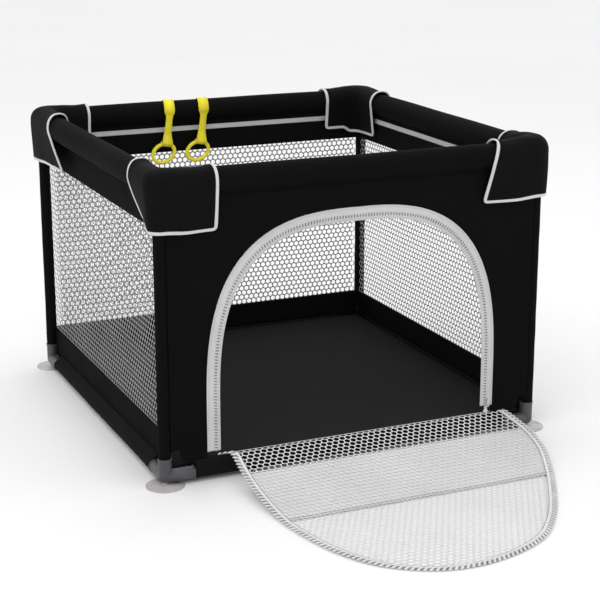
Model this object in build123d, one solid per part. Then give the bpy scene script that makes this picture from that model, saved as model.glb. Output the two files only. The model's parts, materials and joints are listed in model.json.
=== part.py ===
from build123d import *
import os
from math import acos, atan2, cos, pi, radians, sin, sqrt

# Square baby playpen: tube frame on suction feet, padded top rail, mesh walls, and a
# zipped mesh gate that folds down in front. Millimetres, +Z up. Each function works with
# the pen's centre at x = y = 0. The last step moves it all back by PEN_Y, so that the
# origin is on the floor in the middle of the whole footprint, with the gate laid open.

# ---- frame
HALF = 450.0                # post axis from the pen's centre, both ways
TUBE_R = 11.0               # steel tube, 22 mm
TUBE_WALL = 0.8
BASE_Z = 22.0               # axis of the bottom tubes
RAIL_Z = 656.0              # axis of the top tubes
SOCKET_REACH = 65.0         # elbow's level sockets, from the post axis
SOCKET_RISE = 41.5          # elbow's upright socket, from the crossing
SOCKET_STOP = 20.0          # where a level tube stops inside the elbow
POST_STOP = 16.5            # where a post stops inside the elbow
END_PLAY = 0.5              # between a tube's end and its stop
BARREL_R = 14.5
LIP_R = 15.6
LIP_LONG = 4.0
FIT = 0.05                  # tube in socket, on the radius
CUP_R = 42.5
STUD_R = 5.0
STUD_TOP = 19.0

# ---- covers and walls
GAP = 0.2                   # between sewn neighbours
WALL_IN = 9.0               # the mesh walls stand this far inside the post axis
WALL_HALF = 436.0           # and run between the post sleeves
CLOTH = 2.6                 # thickness that stands for a sewn panel
SLEEVE_R = 13.0
TUCK_R = TUBE_R + 0.15      # inside of a fabric sleeve
WINDOW_LOW, WINDOW_HIGH = 112.0, 552.0
BAND_LOW = 48.0             # the lower band starts where the tube sleeve ends
MAT_LOW, MAT_HIGH = 38.0, 46.0
MAT_HALF = 437.0
PAD_R = 28.3
ROLL_R = 30.0               # padded rail in its cover
ROLL_HALF = 415.0
CAP_IN, CAP_R = 30.4, 35.4  # corner cover over the rail
CAP_END = 330.0             # where a corner cover ends along the rail
CAP_LOW_OUT, CAP_LOW_IN = 561.0, 584.0
PIPING = 5.5
RIBBON_LOW, RIBBON_HIGH = 605.0, 617.5
RIBBON_THICK = 1.0

# ---- front panel, doorway and gate
FRONT_OUT = 11.0            # the front panel's face, outside the post axis
SILL = 56.0                 # top of the front tube sleeve
PANEL_FOOT = 41.0           # lowest edge of the panel, beside the elbows
NOTCH = ((402.0, 0.0), (402.0, 54.0), (418.0, 60.0), (424.0, 78.0), (450.0, 78.0), (450.0, 0.0))
ARCH_A, ARCH_B, ARCH_N = 352.0, 415.0, 2.8
ARCH_Z = 160.0              # the doorway's legs are straight below this
TAPE = 30.0                 # width of the zip's tape
TAPE_FOOT = 68.0
HINGE_OUT = 21.0            # crease where the gate meets the floor, outside the post axis
HINGE_Z = 1.3
HINGE_PLAY = 1.5
GATE_A, GATE_B, GATE_N = 345.0, 587.5, 2.2
GATE_SKEW = 25.0            # the gate lies this far to the right at its crease
GATE_THICK = 2.6
BINDING = 26.0
SEAM_LONG = 260.0           # the lining lies under the gate's first stretch
APRON_LEFT, APRON_RIGHT = -334.0, 362.0
SLIDER_X, SLIDER_Z = 336.0, 84.0
SLIDER_SIZE = (9.0, 2.4, 13.0)
BAR_R, EYE_R = 0.7, 1.7

# ---- pull rings on the back rail
RING_X = (-120.5, -26.0)    # where each strap is tacked to the rail's inner side
STRAP_SHIFT = 5.0           # the strap over the rail, to the right of its tack
RING_HALF_X, RING_HALF_Z, RING_R = 30.0, 22.3, 4.3
RING_TOP = 577.0            # centre of the ring's top bar
LEAN = 7.5                  # degrees that strap and ring hang off plumb
TAIL_IN = 33.2              # the hanging strap, inside the rail's axis
TAIL_TOP = 649.4
TAIL_PLAY = 1.3             # the tail starts this far below its tack
STRAP = 1.6
STRAP_WIDE, TAIL_NARROW, TAIL_WIDE = 27.0, 18.0, 30.0
LOOP_IN = 8.0

FACE_Y = -(HALF + FRONT_OUT)
HINGE_Y = -(HALF + HINGE_OUT)
PEN_Y = (GATE_B + HINGE_PLAY - HINGE_Y - HALF - CUP_R) / 2

CORNERS = {"front_left": 0, "front_right": 90, "back_right": 180, "back_left": 270}
SIDES = {"front": 0, "right": 90, "back": 180, "left": 270}

parts = {}


def turned(shape, degrees):
    """A piece drawn at the front or front left, turned about the pen's centre."""
    return Rot(0, 0, degrees) * shape


def along_x(sketch, half_length):
    """A cross-section drawn in y and z, run along x both ways."""
    return extrude(Plane.YZ * sketch, half_length, both=True)


def upright(sketch, face_y, thick):
    """A panel drawn in x and z, its front face at face_y."""
    return Pos(0, face_y + thick, 0) * extrude(Plane.XZ * sketch, thick)


def box(low, high):
    size = [b - a for a, b in zip(low, high)]
    middle = [(a + b) / 2 for a, b in zip(low, high)]
    return Pos(*middle) * Box(*size)


def ring_section(outer, inner):
    return Circle(outer) - Circle(inner)


# ---- tubes and fittings

def post_tube():
    low = BASE_Z + POST_STOP + END_PLAY
    high = RAIL_Z - POST_STOP - END_PLAY
    tube = extrude(ring_section(TUBE_R, TUBE_R - TUBE_WALL), high - low)
    return Pos(-HALF, -HALF, low) * tube


def level_tube(z):
    section = Pos(-HALF, z) * ring_section(TUBE_R, TUBE_R - TUBE_WALL)
    return along_x(section, HALF - SOCKET_STOP - END_PLAY)


def barrel(way, reach, stop):
    """One socket of an elbow: its body and its bore, from the crossing outwards."""
    frame = Plane(origin=(0, 0, 0), z_dir=way).location
    body = frame * Pos(0, 0, reach / 2) * Cylinder(BARREL_R, reach)
    body += frame * Pos(0, 0, reach - LIP_LONG / 2) * Cylinder(LIP_R, LIP_LONG)
    bore = frame * Pos(0, 0, (reach + stop) / 2) * Cylinder(TUBE_R + FIT, reach - stop)
    return body, bore


def elbow(rise):
    """Three-way corner fitting, its third socket up (rise 1) or down (rise -1)."""
    body = Sphere(BARREL_R)
    sockets = [
        barrel((1, 0, 0), SOCKET_REACH, SOCKET_STOP),
        barrel((0, 1, 0), SOCKET_REACH, SOCKET_STOP),
        barrel((0, 0, rise), SOCKET_RISE, POST_STOP),
    ]
    for shell, _ in sockets:
        body += shell
    for _, bore in sockets:
        body -= bore
    return body


def base_elbow():
    stud_hole = Pos(0, 0, (STUD_TOP - BASE_Z - BASE_Z) / 2 + FIT) * Cylinder(STUD_R + FIT, STUD_TOP)
    return Pos(-HALF, -HALF, BASE_Z) * (elbow(1) - stud_hole)


def top_elbow():
    return Pos(-HALF, -HALF, RAIL_Z) * elbow(-1)


def suction_cup():
    half_section = Polygon(
        (0, 3.0), (30.0, 2.2), (38.0, 0), (CUP_R, 0), (CUP_R, 1.2), (20.0, 4.2),
        (9.0, 5.6), (STUD_R, 7.0), (STUD_R, STUD_TOP), (0, STUD_TOP), align=None)
    return Pos(-HALF, -HALF, 0) * revolve(Plane.XZ * half_section, Axis.Z)


# ---- fabric on the frame

def tangent_point(centre, radius, point, side):
    """Where a line from point touches the circle, on the given side."""
    dy, dz = point[0] - centre[0], point[1] - centre[1]
    turn = atan2(dz, dy) + side * acos(radius / sqrt(dy * dy + dz * dz))
    return centre[0] + radius * cos(turn), centre[1] + radius * sin(turn)


def bottom_sleeve(outer, inner, top):
    """Fabric round a bottom tube, drawn up to a seam between outer and inner at top."""
    centre = (-HALF, BASE_Z)
    hull = Polygon(
        (outer, top), tangent_point(centre, SLEEVE_R, (outer, top), 1),
        tangent_point(centre, SLEEVE_R, (inner, top), -1), (inner, top), align=None)
    section = hull + Pos(*centre) * Circle(SLEEVE_R) - Pos(*centre) * Circle(TUCK_R)
    return along_x(section, HALF - SOCKET_REACH - GAP)


def post_sleeve():
    low = BASE_Z + SOCKET_RISE + GAP
    high = RAIL_Z - SOCKET_RISE - GAP
    return Pos(-HALF, -HALF, low) * extrude(ring_section(SLEEVE_R, TUCK_R), high - low)


def wall_plate(low, high):
    """A stretch of side wall, standing just inside the tubes."""
    y = -HALF + WALL_IN
    return box((-WALL_HALF, y - CLOTH / 2, low), (WALL_HALF, y + CLOTH / 2, high))


def rail_pad():
    section = Pos(-HALF, RAIL_Z) * ring_section(PAD_R, TUCK_R)
    return along_x(section, HALF - SOCKET_REACH - GAP)


def roll_cover():
    return along_x(Pos(-HALF, RAIL_Z) * ring_section(ROLL_R, PAD_R + GAP / 2), ROLL_HALF)


def rail_cover():
    """Cover of the padded rail, with the band sewn on below it."""
    joined_at = RAIL_Z - sqrt(ROLL_R ** 2 - WALL_IN ** 2) + CLOTH / 4
    return roll_cover() + wall_plate(WINDOW_HIGH + GAP, joined_at)


def ribbon():
    y = -HALF + WALL_IN + CLOTH / 2 + GAP
    end = CAP_END - PIPING
    return box((-end, y, RIBBON_LOW), (end, y + RIBBON_THICK, RIBBON_HIGH))


def mitred(section, start, end):
    """A rail-shaped piece round the front left corner, from start to end on both rails."""
    leg = Pos((start + end) / 2, 0, 0) * along_x(section, abs(end - start) / 2)
    diagonal = Plane(origin=(0, 0, 0), z_dir=(1, -1, 0))
    leg = split(leg, bisect_by=diagonal, keep=Keep.TOP)
    return leg + mirror(leg, about=diagonal)


def cap_section(outside, low_out, low_in):
    """Corner cover's section over a rail: round on top, with two hanging skirts."""
    wide = 2 * outside
    skirt = 2 * (RAIL_Z - low_out)
    shell = Pos(-HALF, RAIL_Z) * (Circle(outside) + Pos(0, -skirt / 4) * Rectangle(wide, skirt / 2))
    room = Pos(-HALF, RAIL_Z) * (Circle(CAP_IN) + Pos(0, -skirt / 2) * Rectangle(2 * CAP_IN, skirt))
    short = Pos(-HALF + outside, low_in - outside) * Rectangle(wide, 2 * outside)
    return shell - room - short


def corner_cover():
    start, end = -HALF - CAP_R - 1, -CAP_END
    return mitred(cap_section(CAP_R, CAP_LOW_OUT, CAP_LOW_IN), start, end)


def corner_piping():
    """White cord along the corner cover's two ends and its lower edges."""
    whole = cap_section(CAP_R, CAP_LOW_OUT - PIPING, CAP_LOW_IN - PIPING)
    ends = mitred(whole, -CAP_END + GAP, -CAP_END + PIPING)
    upper = cap_section(CAP_R, CAP_LOW_OUT - GAP, CAP_LOW_IN - GAP)
    lower = mitred(whole - upper, -HALF - CAP_R - 1, -CAP_END + PIPING)
    return ends + lower


def floor_mat():
    front = -MAT_HALF - 6.0
    return box((-MAT_HALF, front, MAT_LOW), (MAT_HALF, MAT_HALF, MAT_HIGH))


# ---- front panel, doorway and gate

def superellipse(a, b, n, t):
    """A point of the half outline, t from 0 at the right foot to pi at the left foot."""
    x = abs(cos(t)) ** (2 / n) * (1 if cos(t) >= 0 else -1)
    return a * x, b * sin(t) ** (2 / n)


def arch(inset, foot):
    """The doorway's outline, moved in by inset, down to foot."""
    a, b = ARCH_A - inset, ARCH_B - inset
    steps = 24
    points = [superellipse(a, b, ARCH_N, pi * i / steps) for i in range(steps + 1)]
    points = [(x, ARCH_Z + z) for x, z in points]
    crown = Spline(*points, tangents=[(0, 1), (0, -1)])
    legs = Polyline(points[-1], (-a, foot), (a, foot), points[0])
    return make_face(crown.edges() + legs.edges())


def front_panel():
    top = RAIL_Z - sqrt(ROLL_R ** 2 - FRONT_OUT ** 2) - 1.0
    sheet = Pos(0, (PANEL_FOOT + top) / 2) * Rectangle(2 * WALL_HALF, top - PANEL_FOOT)
    over_sleeve = 2 * (HALF - SOCKET_REACH)
    sheet -= Pos(0, SILL + GAP - 50) * Rectangle(over_sleeve, 100)
    sheet -= arch(-GAP, SILL - 50)
    notch = Polygon(*NOTCH, align=None)
    return upright(sheet - notch - mirror(notch, about=Plane.YZ), FACE_Y, CLOTH)


def zip_tape():
    return upright(arch(0, TAPE_FOOT) - arch(TAPE, TAPE_FOOT - 1), FACE_Y - 0.5, CLOTH)


def zip_slider():
    """Slider on the doorway's right leg, with a bar for its pull."""
    wide, deep, tall = SLIDER_SIZE
    back = FACE_Y - 0.5 - 0.3
    front = back - deep
    bar_y = front - 0.3 - EYE_R
    middle = SLIDER_Z + tall / 2
    body = box((SLIDER_X - wide / 2, front, SLIDER_Z), (SLIDER_X + wide / 2, back, SLIDER_Z + tall))
    body = fillet(body.edges().filter_by(Axis.Y), 2.0)
    for side in (-1, 1):
        x = SLIDER_X + side * 3.6
        body += box((x - 0.5, bar_y - BAR_R, middle - 1.5), (x + 0.5, front + 0.2, middle + 1.5))
    return body + Pos(SLIDER_X, bar_y, middle) * Rot(0, 90, 0) * Cylinder(BAR_R, 7.2)


def pull_axis():
    wide, deep, tall = SLIDER_SIZE
    return FACE_Y - 0.8 - deep - 0.3 - EYE_R, SLIDER_Z + tall / 2


def zip_pull():
    """Flat pull that hangs from the slider's bar."""
    y, z = pull_axis()
    eye = Cylinder(EYE_R, 5.0) - Cylinder(BAR_R + 0.15, 5.0)
    tab = Pos(0, -10.6) * RectangleRounded(6.0, 18.0, 2.4)
    tab -= Pos(0, -15.2) * Circle(1.6)
    return Pos(SLIDER_X, y, z) * (Rot(0, 90, 0) * eye + Pos(0, 0.6, 0) * extrude(Plane.XZ * tab, 1.2))


def gate_apron():
    """Mesh that drapes over the front sleeve, from the sill down to the crease."""
    top, bottom = (FACE_Y - 1.4, SILL + 0.6), (HINGE_Y + 2.4, 0.4)
    section = Polygon(top, bottom, (bottom[0] + 1.2, bottom[1]), (top[0] + 1.2, top[1]), align=None)
    half_length = (APRON_RIGHT - APRON_LEFT) / 2
    return Pos(APRON_LEFT + half_length, 0, 0) * along_x(section, half_length)


def gate_outline(inset):
    """The gate laid flat, in x and y, seen from above."""
    near = HINGE_Y - HINGE_PLAY
    steps = 20
    points = []
    for i in range(steps + 1):
        x, reach = superellipse(GATE_A - inset, GATE_B - inset, GATE_N, pi * i / steps)
        skew = GATE_SKEW * max(1 - reach / 400.0, -0.2)
        points.append((x + skew, near - reach))
    curve = Spline(*points, tangents=[(0, -1), (0, 1)])
    return make_face(curve.edges() + Line(points[-1], points[0]).edges())


def gate_mesh():
    return Pos(0, 0, 1.2) * extrude(gate_outline(BINDING + GAP), 1.0)


def gate_lining():
    near = HINGE_Y - HINGE_PLAY
    strip = Pos(0, near - SEAM_LONG / 2) * Rectangle(3 * GATE_A, SEAM_LONG)
    return extrude(gate_outline(BINDING + GAP) & strip, 1.0)


def gate_binding():
    return extrude(gate_outline(0) - gate_outline(BINDING), GATE_THICK)


# ---- pull rings on the back rail

def rail_strap(x):
    """Webbing from the rail's outer side over its top to the tack on its inner side."""
    inner = ROLL_R + 0.3
    tack = atan2(RAIL_Z - 650.0, inner)
    steps = 12
    turn = [-tack + (pi + 2 * tack) * i / steps for i in range(steps + 1)]
    rims = []
    for radius in (inner, inner + STRAP):
        points = [(HALF - radius * cos(a), RAIL_Z + radius * sin(a)) for a in turn]
        rims.append(ThreePointArc(points[0], points[steps // 2], points[-1]))
    ends = [Line(rims[0] @ k, rims[1] @ k) for k in (0, 1)]
    section = make_face(rims[0].edges() + rims[1].edges() + ends[0].edges() + ends[1].edges())
    return Pos(x + STRAP_SHIFT, 0, 0) * along_x(section, STRAP_WIDE / 2)


def hung(shape, x):
    """Strap and ring hang a little off plumb, about the tack."""
    return Pos(x, HALF - TAIL_IN, TAIL_TOP) * Rot(0, LEAN, 0) * shape


def ring_tail(x):
    """Hanging end of the strap, with the loop that carries the ring."""
    drop = TAIL_TOP - RING_TOP
    outline = Polygon(
        (-TAIL_NARROW / 2, -TAIL_PLAY), (TAIL_NARROW / 2, -TAIL_PLAY), (TAIL_NARROW / 2, -drop / 2),
        (TAIL_WIDE / 2, -drop + LOOP_IN), (-TAIL_WIDE / 2, -drop + LOOP_IN),
        (-TAIL_NARROW / 2, -drop / 2), align=None)
    flat = Pos(0, STRAP / 2, 0) * extrude(Plane.XZ * outline, STRAP)
    loop = Rot(0, 90, 0) * (Cylinder(LOOP_IN + STRAP, TAIL_WIDE) - Cylinder(LOOP_IN, TAIL_WIDE))
    return hung(flat + Pos(0, 0, -drop) * loop, x)


def ring(x):
    drop = TAIL_TOP - RING_TOP + RING_HALF_Z
    path = Plane.XZ * Ellipse(RING_HALF_X, RING_HALF_Z).edge()
    section = Plane(origin=path @ 0, z_dir=path % 0) * Circle(RING_R)
    return hung(Pos(0, 0, -drop) * sweep(section, path=path), x)


# ---- the whole pen

def keep(name, *shapes):
    """A node of one solid, or of several separate ones."""
    solids = [solid for shape in shapes for solid in shape.solids()]
    parts[name] = [Pos(0, PEN_Y, 0) * solid for solid in solids]


for corner, degrees in CORNERS.items():
    keep("post_" + corner, turned(post_tube(), degrees))
    keep("post_sleeve_" + corner, turned(post_sleeve(), degrees))
    keep("base_elbow_" + corner, turned(base_elbow(), degrees))
    keep("corner_cover_" + corner, turned(corner_cover(), degrees))

keep("top_elbows", *[turned(top_elbow(), degrees) for degrees in CORNERS.values()])
keep("suction_cups", *[turned(suction_cup(), degrees) for degrees in CORNERS.values()])
keep("corner_piping", *[turned(corner_piping(), degrees) for degrees in CORNERS.values()])

for side, degrees in SIDES.items():
    keep("bottom_tube_" + side, turned(level_tube(BASE_Z), degrees))
    keep("top_tube_" + side, turned(level_tube(RAIL_Z), degrees))
    if side == "front":
        keep("bottom_sleeve_front", bottom_sleeve(FACE_Y, FACE_Y + CLOTH, SILL))
        keep("rail_cover_front", roll_cover())
        continue
    wall = -HALF + WALL_IN
    sleeve = bottom_sleeve(wall - CLOTH / 2, wall + CLOTH / 2, BAND_LOW - GAP)
    keep("bottom_sleeve_" + side, turned(sleeve, degrees))
    keep("rail_cover_" + side, turned(rail_cover(), degrees))
    keep("lower_band_" + side, turned(wall_plate(BAND_LOW, WINDOW_LOW - GAP), degrees))
    keep("mesh_" + side, turned(wall_plate(WINDOW_LOW, WINDOW_HIGH), degrees))

keep("rail_pads", *[turned(rail_pad(), degrees) for degrees in SIDES.values()])
keep("rail_ribbons", *[turned(ribbon(), SIDES[side]) for side in ("right", "back", "left")])
keep("floor_mat", floor_mat())
keep("front_panel", front_panel())
keep("door_zip_tape", zip_tape())
keep("zip_slider", zip_slider())
keep("zip_pull", zip_pull())
keep("gate_apron", gate_apron())
keep("gate_mesh", gate_mesh())
keep("gate_lining", gate_lining())
keep("gate_binding", gate_binding())
for number, x in enumerate(RING_X, 1):
    keep(f"ring_strap_{number}", rail_strap(x))
    keep(f"ring_tail_{number}", ring_tail(x))
    keep(f"ring_{number}", ring(x))

os.makedirs("parts", exist_ok=True)
for name, solids in parts.items():
    export_step(solids[0] if len(solids) == 1 else Compound(children=solids), f"parts/{name}.step")

tail_y, pull = HALF - TAIL_IN + PEN_Y, pull_axis()
print("pen's centre at y =", round(PEN_Y, 2), " nodes:", len(parts))
print("gate hinge at y, z =", round(HINGE_Y + PEN_Y, 2), HINGE_Z)
print("pull hinge at y, z =", round(pull[0] + PEN_Y, 2), pull[1])
for x in RING_X:
    reach = TAIL_TOP - RING_TOP
    bar = x - reach * sin(radians(LEAN)), TAIL_TOP - reach * cos(radians(LEAN))
    print("strap hinge", x, round(tail_y, 2), TAIL_TOP, " ring hinge", [round(v, 2) for v in bar])
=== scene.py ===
import json
import math
import random

import bpy
import numpy as np
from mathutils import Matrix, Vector, noise


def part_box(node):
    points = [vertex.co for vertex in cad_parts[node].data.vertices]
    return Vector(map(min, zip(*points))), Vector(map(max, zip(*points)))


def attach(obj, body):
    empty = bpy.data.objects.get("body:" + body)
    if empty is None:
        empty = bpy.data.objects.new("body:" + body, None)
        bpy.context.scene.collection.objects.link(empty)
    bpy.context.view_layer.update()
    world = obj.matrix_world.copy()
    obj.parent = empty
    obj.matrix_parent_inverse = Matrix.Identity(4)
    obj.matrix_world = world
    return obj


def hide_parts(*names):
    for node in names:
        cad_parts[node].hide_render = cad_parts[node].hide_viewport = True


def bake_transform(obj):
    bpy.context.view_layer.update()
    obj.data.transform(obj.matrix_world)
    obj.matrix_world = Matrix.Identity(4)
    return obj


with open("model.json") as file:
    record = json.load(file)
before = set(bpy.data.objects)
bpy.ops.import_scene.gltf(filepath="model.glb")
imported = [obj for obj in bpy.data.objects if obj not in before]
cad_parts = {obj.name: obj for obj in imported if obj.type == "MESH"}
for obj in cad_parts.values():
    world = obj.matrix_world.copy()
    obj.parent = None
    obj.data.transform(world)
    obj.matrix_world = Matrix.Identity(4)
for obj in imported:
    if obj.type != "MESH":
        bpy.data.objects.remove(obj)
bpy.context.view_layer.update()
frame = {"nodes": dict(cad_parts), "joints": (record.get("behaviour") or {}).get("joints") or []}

# Square baby playpen: black oxford cover on a tube frame, mesh walls, white mesh gate laid open.
# Every shape is drawn about the pen's own centre, in metres, and moved back by penY as its mesh is made.
# A side or corner is drawn at the front or front left, then turned about the pen's centre.

random.seed(7)


def middle(nodeName):
    low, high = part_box(nodeName)
    return (low + high) / 2


frontPost, backPost = middle("post_front_left"), middle("post_back_right")
half = (backPost.x - frontPost.x) / 2        # post axis from the pen's centre
penY = (backPost.y + frontPost.y) / 2
railZ = middle("top_tube_front").z
baseZ = middle("bottom_tube_front").z
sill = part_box("bottom_sleeve_front")[1].z - 0.0035     # the seam is drawn down a little
windowLow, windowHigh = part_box("mesh_left")[0].z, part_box("mesh_left")[1].z
wallY = middle("mesh_back").y - penY          # the walls' plane, inside the post axis
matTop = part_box("floor_mat")[1].z
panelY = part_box("front_panel")[0].y - penY

sides = {"front": 0, "right": 90, "back": 180, "left": 270}
walls = {name: turn for name, turn in sides.items() if name != "front"}
corners = {"front_left": 0, "front_right": 90, "back_right": 180, "back_left": 270}


def feed(tree, node, given):
    # each input gets a value, or a link if it is given another node's output
    for key, value in given.items():
        if isinstance(value, bpy.types.NodeSocket):
            tree.links.new(value, node.inputs[key])
        else:
            node.inputs[key].default_value = value


def addNode(tree, kind, given=None, **settings):
    made = tree.nodes.new(kind)
    for key, value in settings.items():
        setattr(made, key, value)
    feed(tree, made, given or {})
    return made


def maths(tree, work, *values):
    return addNode(tree, "ShaderNodeMath", dict(enumerate(values)), operation=work).outputs[0]


def mapTo(tree, value, low, high, start=0.0, end=1.0):
    given = {"Value": value, "From Min": start, "From Max": end, "To Min": low, "To Max": high}
    return addNode(tree, "ShaderNodeMapRange", given).outputs[0]


def newGroup(name, inputs, outputs):
    tree = bpy.data.node_groups.new(name, "ShaderNodeTree")
    tree.interface.new_socket(name="Place", in_out="INPUT", socket_type="NodeSocketVector")
    for label in inputs:
        kind = "NodeSocketVector" if label == "Facing" else "NodeSocketFloat"
        tree.interface.new_socket(name=label, in_out="INPUT", socket_type=kind)
    for label in outputs:
        tree.interface.new_socket(name=label, in_out="OUTPUT", socket_type="NodeSocketFloat")
    return tree, tree.nodes.new("NodeGroupInput").outputs, tree.nodes.new("NodeGroupOutput")


def makeWeaveGroup():
    # over-and-under threads on whichever plane the cloth faces
    tree, given, out = newGroup("plainWeave", ["Facing", "Threads"], ["Height"])
    scaled = addNode(tree, "ShaderNodeVectorMath", {0: given["Place"], "Scale": given["Threads"]},
                     operation="SCALE")
    place = addNode(tree, "ShaderNodeSeparateXYZ", {0: scaled.outputs[0]})
    squared = addNode(tree, "ShaderNodeVectorMath", {0: given["Facing"], 1: given["Facing"]},
                      operation="MULTIPLY")
    facing = addNode(tree, "ShaderNodeSeparateXYZ", {0: squared.outputs[0]})
    waves = [maths(tree, "SINE", place.outputs[axis]) for axis in range(3)]
    shares = []
    for axis in range(3):
        pair = maths(tree, "MULTIPLY", waves[(axis + 1) % 3], waves[(axis + 2) % 3])
        shares.append(maths(tree, "MULTIPLY", pair, facing.outputs[axis]))
    total = maths(tree, "ADD", maths(tree, "ADD", shares[0], shares[1]), shares[2])
    feed(tree, out, {"Height": maths(tree, "MULTIPLY_ADD", total, 0.5, 0.5)})
    return tree


def makeCloudGroup():
    # slow change of tone, and soft creases where cloth has been handled
    tree, given, out = newGroup("handledCloth", ["Patches", "Creases"], ["Tone", "Crease"])
    for label, result, detail, rough in (("Patches", "Tone", 3.0, 0.55), ("Creases", "Crease", 2.0, 0.45)):
        cloud = addNode(tree, "ShaderNodeTexNoise", {"Vector": given["Place"], "Scale": given[label],
                                                     "Detail": detail, "Roughness": rough})
        feed(tree, out, {result: mapTo(tree, cloud.outputs[0], 0.0, 1.0, 0.3, 0.7)})
    return tree


def makeGrainGroup():
    # fine moulded grain with a few rubbed patches
    tree, given, out = newGroup("mouldedGrain", ["Grain", "Rubs"], ["Height", "Rubbed"])
    grain = addNode(tree, "ShaderNodeTexVoronoi", {"Vector": given["Place"], "Scale": given["Grain"]},
                    feature="SMOOTH_F1")
    grain.inputs["Smoothness"].default_value = 0.6
    rubs = addNode(tree, "ShaderNodeTexNoise", {"Vector": given["Place"], "Scale": given["Rubs"],
                                                "Detail": 5.0})
    rubbed = mapTo(tree, rubs.outputs[0], 0.0, 1.0, 0.42, 0.68)
    feed(tree, out, {"Height": grain.outputs["Distance"], "Rubbed": rubbed})
    return tree


weaveGroup, cloudGroup, grainGroup = makeWeaveGroup(), makeCloudGroup(), makeGrainGroup()


def startMaterial(name, constants):
    material = bpy.data.materials.new(name)
    material.use_nodes = True
    tree = material.node_tree
    shader = tree.nodes["Principled BSDF"]
    feed(tree, shader, constants)
    return material, tree, shader, addNode(tree, "ShaderNodeTexCoord").outputs


def useGroup(tree, group, place, **values):
    made = addNode(tree, "ShaderNodeGroup", node_tree=group)
    feed(tree, made, {"Place": place["Object"], **values})
    if "Facing" in made.inputs:
        feed(tree, made, {"Facing": place["Normal"]})
    return made.outputs


def mixColours(tree, factor, dark, light):
    given = {"Factor": factor, "A": (*dark, 1), "B": (*light, 1)}
    return addNode(tree, "ShaderNodeMix", given, data_type="RGBA").outputs["Result"]


def bump(tree, height, distance, strength, under=None):
    given = {"Distance": distance, "Strength": strength, "Height": height}
    if under is not None:
        given["Normal"] = under
    return addNode(tree, "ShaderNodeBump", given).outputs["Normal"]


def clothMaterial(name, dark, light, pitch, rough=0.7, sheen=0.2, crease=0.0012, patches=6.0):
    # pitch is the distance from one thread to the next
    gloss = 0.35 if light[0] > 0.1 else 0.045
    constants = {"Sheen Weight": sheen, "Sheen Roughness": 0.45, "Specular IOR Level": gloss}
    material, tree, shader, place = startMaterial(name, constants)
    weave = useGroup(tree, weaveGroup, place, Threads=math.pi / pitch)
    cloud = useGroup(tree, cloudGroup, place, Patches=patches, Creases=22.0)
    weaveShare = maths(tree, "MULTIPLY", weave["Height"], 0.45)
    cloudShare = maths(tree, "MULTIPLY", cloud["Tone"], 0.55)
    tone = maths(tree, "ADD", weaveShare, cloudShare)
    creased = bump(tree, cloud["Crease"], crease, 0.6)
    feed(tree, shader, {"Base Color": mixColours(tree, tone, dark, light),
                        "Roughness": mapTo(tree, cloud["Tone"], rough - 0.07, rough + 0.05),
                        "Normal": bump(tree, weave["Height"], pitch * 0.3, 0.7, creased)})
    return material


def mouldedMaterial(name, dark, light, rough, grain=900.0, depth=0.00008, metal=0.0):
    material, tree, shader, place = startMaterial(name, {"Metallic": metal})
    surface = useGroup(tree, grainGroup, place, Grain=grain, Rubs=26.0)
    feed(tree, shader, {"Base Color": mixColours(tree, surface["Rubbed"], dark, light),
                        "Roughness": mapTo(tree, surface["Rubbed"], rough, rough + 0.14),
                        "Normal": bump(tree, surface["Height"], depth, 0.5)})
    return material


def makeCupMaterial():
    # soft clear vinyl, a little milky, thinner towards the rim
    material, tree, shader, place = startMaterial("clearVinyl", {"IOR": 1.45, "Specular IOR Level": 0.5})
    surface = useGroup(tree, grainGroup, place, Grain=240.0, Rubs=20.0)
    tint = mixColours(tree, surface["Rubbed"], (0.60, 0.565, 0.575), (0.70, 0.665, 0.675))
    feed(tree, shader, {"Base Color": tint, "Roughness": mapTo(tree, surface["Rubbed"], 0.22, 0.34),
                        "Alpha": mapTo(tree, surface["Rubbed"], 0.70, 0.80),
                        "Normal": bump(tree, surface["Height"], 0.0003, 0.4)})
    return material


def grey(value):
    return (value, value, value * 1.01)


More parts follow.
